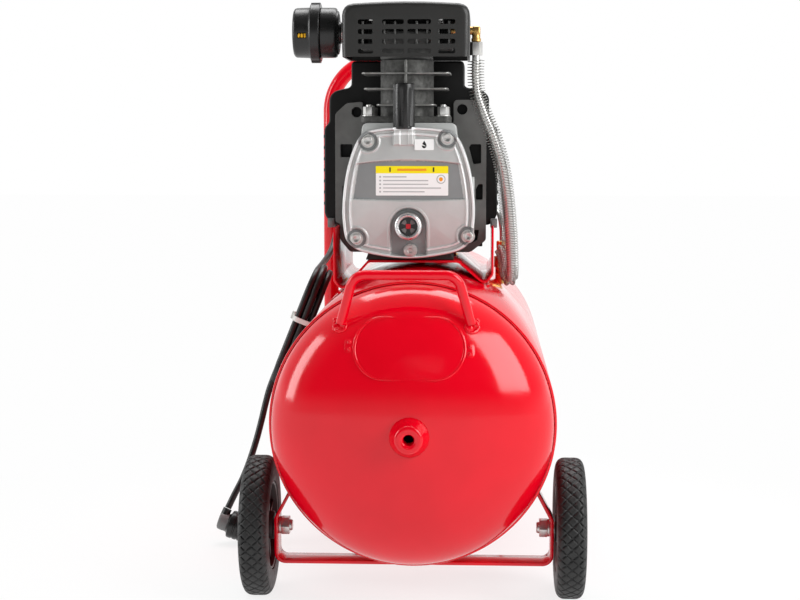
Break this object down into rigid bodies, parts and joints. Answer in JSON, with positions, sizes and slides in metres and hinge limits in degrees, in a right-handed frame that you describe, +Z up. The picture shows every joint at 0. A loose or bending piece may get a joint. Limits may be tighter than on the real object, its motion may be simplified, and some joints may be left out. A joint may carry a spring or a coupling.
{
  "type": "air compressor",
  "caption": "Portable wheeled air compressor: horizontal steel tank, direct-drive piston pump on a saddle, carry handles, rubber feet, pressure switch and coiled mains cord.",
  "frame": {"origin": "on the floor, under the middle of the object's bounding box without its free cord", "axes": "+Y along the tank from the pump's front cover towards the rear handle, +X to the right seen from the front cover, +Z up"},
  "size_m": [0.4326, 0.789, 0.642],
  "materials": {
    "red_paint": "glossy enamel over sheet steel",
    "red_plastic": "glossy moulded plastic",
    "rim_plastic": "satin moulded plastic",
    "tyre": "matt rubber with a diamond tread",
    "rubber": "matt",
    "filter_foam": "open foam",
    "cast_aluminium": "satin sand-cast skin",
    "cast_iron": "dark painted casting",
    "dark_frame": "dark die-cast",
    "black_plastic": "fine texture",
    "steel": "zinc plated",
    "fin_aluminium": "bright wire fins",
    "brass": "machined",
    "sight_glass": "clear lens over a dark well",
    "cord_rubber": "satin cable jacket"
  },
  "bodies": {
    "compressor": {"tank_barrel": "red_paint", "tank_dome_front": "red_paint", "tank_dome_rear": "red_paint", "dome_bung": "red_paint", "front_handle": "red_paint", "rear_handle": "red_paint", "axle_bracket": "red_paint", "axle_bolt_left": "steel", "axle_bolt_right": "steel", "foot_bracket": "red_paint", "rubber_foot_left": "rubber", "rubber_foot_right": "rubber", "saddle": "red_paint", "rubber_mount_front": "rubber", "rubber_mount_rear": "rubber", "crankcase": "cast_aluminium", "crankcase_cover": "cast_aluminium", "oil_drain_plug": "steel", "oil_sight_glass": "sight_glass", "cylinder": "cast_iron", "cylinder_head": "cast_aluminium", "head_cover": "black_plastic", "air_filter_body": "black_plastic", "air_filter_cap": "black_plastic", "filter_element": "filter_foam", "discharge_elbow": "brass", "discharge_tube": "fin_aluminium", "check_valve": "brass", "motor_end_frame": "dark_frame", "motor_housing": "cast_aluminium", "fan_cover": "black_plastic", "capacitor_box": "black_plastic", "air_guide": "black_plastic", "outlet_block": "brass", "pressure_switch": "black_plastic", "pressure_regulator": "brass", "pressure_gauge": "steel", "outlet_coupler": "brass", "safety_valve": "brass", "drain_valve": "brass", "unloader_tube": "steel", "strain_relief": "rubber", "power_lead": "cord_rubber", "cord_hank": "cord_rubber", "cord_tail": "cord_rubber", "mains_plug": "black_plastic"},
    "wheel_left": {"wheel_rim_left": "rim_plastic", "tyre_left": "tyre"},
    "wheel_right": {"wheel_rim_right": "rim_plastic", "tyre_right": "tyre"},
    "crank": {"crankshaft": "steel", "rotor": "steel", "cooling_fan": "black_plastic"},
    "piston": {"piston": "cast_aluminium"},
    "power_knob": {"switch_knob": "red_plastic"},
    "regulator_knob": {"regulator_knob": "black_plastic"},
    "coupler_sleeve": {"coupler_sleeve": "steel"},
    "safety_pull": {"safety_valve_pull": "steel"},
    "drain_knob": {"drain_knob": "brass"},
    "filler_plug": {"oil_filler_plug": "black_plastic"}
  },
  "joints": [
    {"name": "wheel_left_spin", "type": "hinge", "parent": "compressor", "child": "wheel_left", "pos_m": [-0.166, -0.2515, 0.075], "axis": [1, 0, 0], "continuous": true},
    {"name": "wheel_right_spin", "type": "hinge", "parent": "compressor", "child": "wheel_right", "pos_m": [0.166, -0.2515, 0.075], "axis": [1, 0, 0], "continuous": true},
    {"name": "crankshaft_spin", "type": "hinge", "parent": "compressor", "child": "crank", "pos_m": [-0.01, 0, 0.43], "axis": [0, 1, 0], "continuous": true},
    {"name": "piston_stroke", "type": "slide", "parent": "compressor", "child": "piston", "axis": [0, 0, 1], "range_m": [-0.038, 0]},
    {"name": "power_knob_pull", "type": "slide", "parent": "compressor", "child": "power_knob", "axis": [0, 0, 1], "range_m": [0, 0.008]},
    {"name": "regulator_turn", "type": "hinge", "parent": "compressor", "child": "regulator_knob", "pos_m": [-0.0665, 0.1885, 0.415], "axis": [0, 0, 1], "range_deg": [0, 720]},
    {"name": "coupler_sleeve_slide", "type": "slide", "parent": "compressor", "child": "coupler_sleeve", "axis": [0, 1, 0], "range_m": [-0.006, 0], "stiffness_N_per_m": 500},
    {"name": "safety_pull_slide", "type": "slide", "parent": "compressor", "child": "safety_pull", "axis": [0, 0, 1], "range_m": [0, 0.003], "stiffness_N_per_m": 1000},
    {"name": "drain_turn", "type": "hinge", "parent": "compressor", "child": "drain_knob", "pos_m": [0, -0.0015, 0.018], "axis": [0, 0, 1], "range_deg": [0, 720]},
    {"name": "filler_plug_lift", "type": "slide", "parent": "compressor", "child": "filler_plug", "axis": [0, 0, 1], "range_m": [0, 0.045]}
  ]
}
